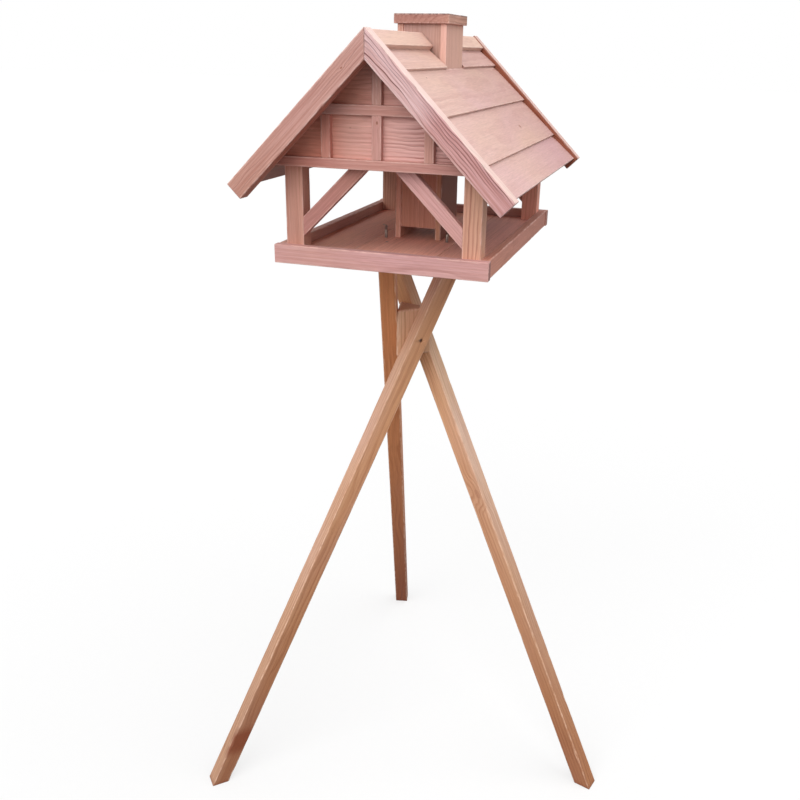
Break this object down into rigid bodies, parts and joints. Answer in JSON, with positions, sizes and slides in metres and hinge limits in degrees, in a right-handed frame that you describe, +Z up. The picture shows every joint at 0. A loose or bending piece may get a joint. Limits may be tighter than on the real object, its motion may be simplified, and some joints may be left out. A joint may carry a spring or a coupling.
{
  "type": "bird table",
  "caption": "Wooden bird table: gabled board roof on corner posts over a rimmed tray, with a food silo through the roof under a lift-off cap, standing on splayed crossed legs.",
  "frame": {"origin": "centre of the bounding box's footprint, on the ground under the three feet", "axes": "+Z up, -Y towards the front gable, +X to the right when seen from the front"},
  "size_m": [0.7522, 0.7765, 1.447],
  "materials": {
    "house_wood": "stained planed softwood",
    "roof_wood": "light stained planed softwood boards",
    "barge_wood": "stained softwood with raised grain",
    "stand_wood": "stained planed softwood battens",
    "steel": "zinc-plated steel"
  },
  "bodies": {
    "table": {"back_batten_low": "house_wood", "back_batten_mid": "house_wood", "back_strip_centre": "house_wood", "back_strip_left": "house_wood", "back_strip_right": "house_wood", "back_strip_top": "house_wood", "barge_back_left": "barge_wood", "barge_back_right": "barge_wood", "barge_front_left": "barge_wood", "barge_front_right": "barge_wood", "brace_back_left": "house_wood", "brace_back_right": "house_wood", "brace_front_left": "house_wood", "brace_front_right": "house_wood", "floor_left": "house_wood", "floor_middle": "house_wood", "floor_right": "house_wood", "front_batten_low": "house_wood", "front_batten_mid": "house_wood", "front_strip_centre": "house_wood", "front_strip_left": "house_wood", "front_strip_right": "house_wood", "front_strip_top": "house_wood", "gable_back": "house_wood", "gable_front": "house_wood", "leg_back": "stand_wood", "leg_front_left": "stand_wood", "leg_front_right": "stand_wood", "leg_screws": "steel", "post_back_left": "house_wood", "post_back_right": "house_wood", "post_front_left": "house_wood", "post_front_right": "house_wood", "ridge_left_back": "roof_wood", "ridge_left_front": "roof_wood", "ridge_right_back": "roof_wood", "ridge_right_front": "roof_wood", "rim_back": "house_wood", "rim_front": "house_wood", "rim_left": "house_wood", "rim_right": "house_wood", "roof_left_1_back": "roof_wood", "roof_left_1_front": "roof_wood", "roof_left_2": "roof_wood", "roof_left_3": "roof_wood", "roof_left_4": "roof_wood", "roof_right_1_back": "roof_wood", "roof_right_1_front": "roof_wood", "roof_right_2": "roof_wood", "roof_right_3": "roof_wood", "roof_right_4": "roof_wood", "silo_back": "house_wood", "silo_front": "house_wood", "silo_left": "house_wood", "silo_pins": "steel", "silo_right": "house_wood", "stand_block": "stand_wood", "tray_screws": "steel"},
    "cap": {"cap_slab": "house_wood", "cap_plug": "house_wood"}
  },
  "joints": [
    {"name": "cap_lift", "type": "slide", "parent": "table", "child": "cap", "axis": [0, 0, 1], "range_m": [0, 0.06]}
  ]
}
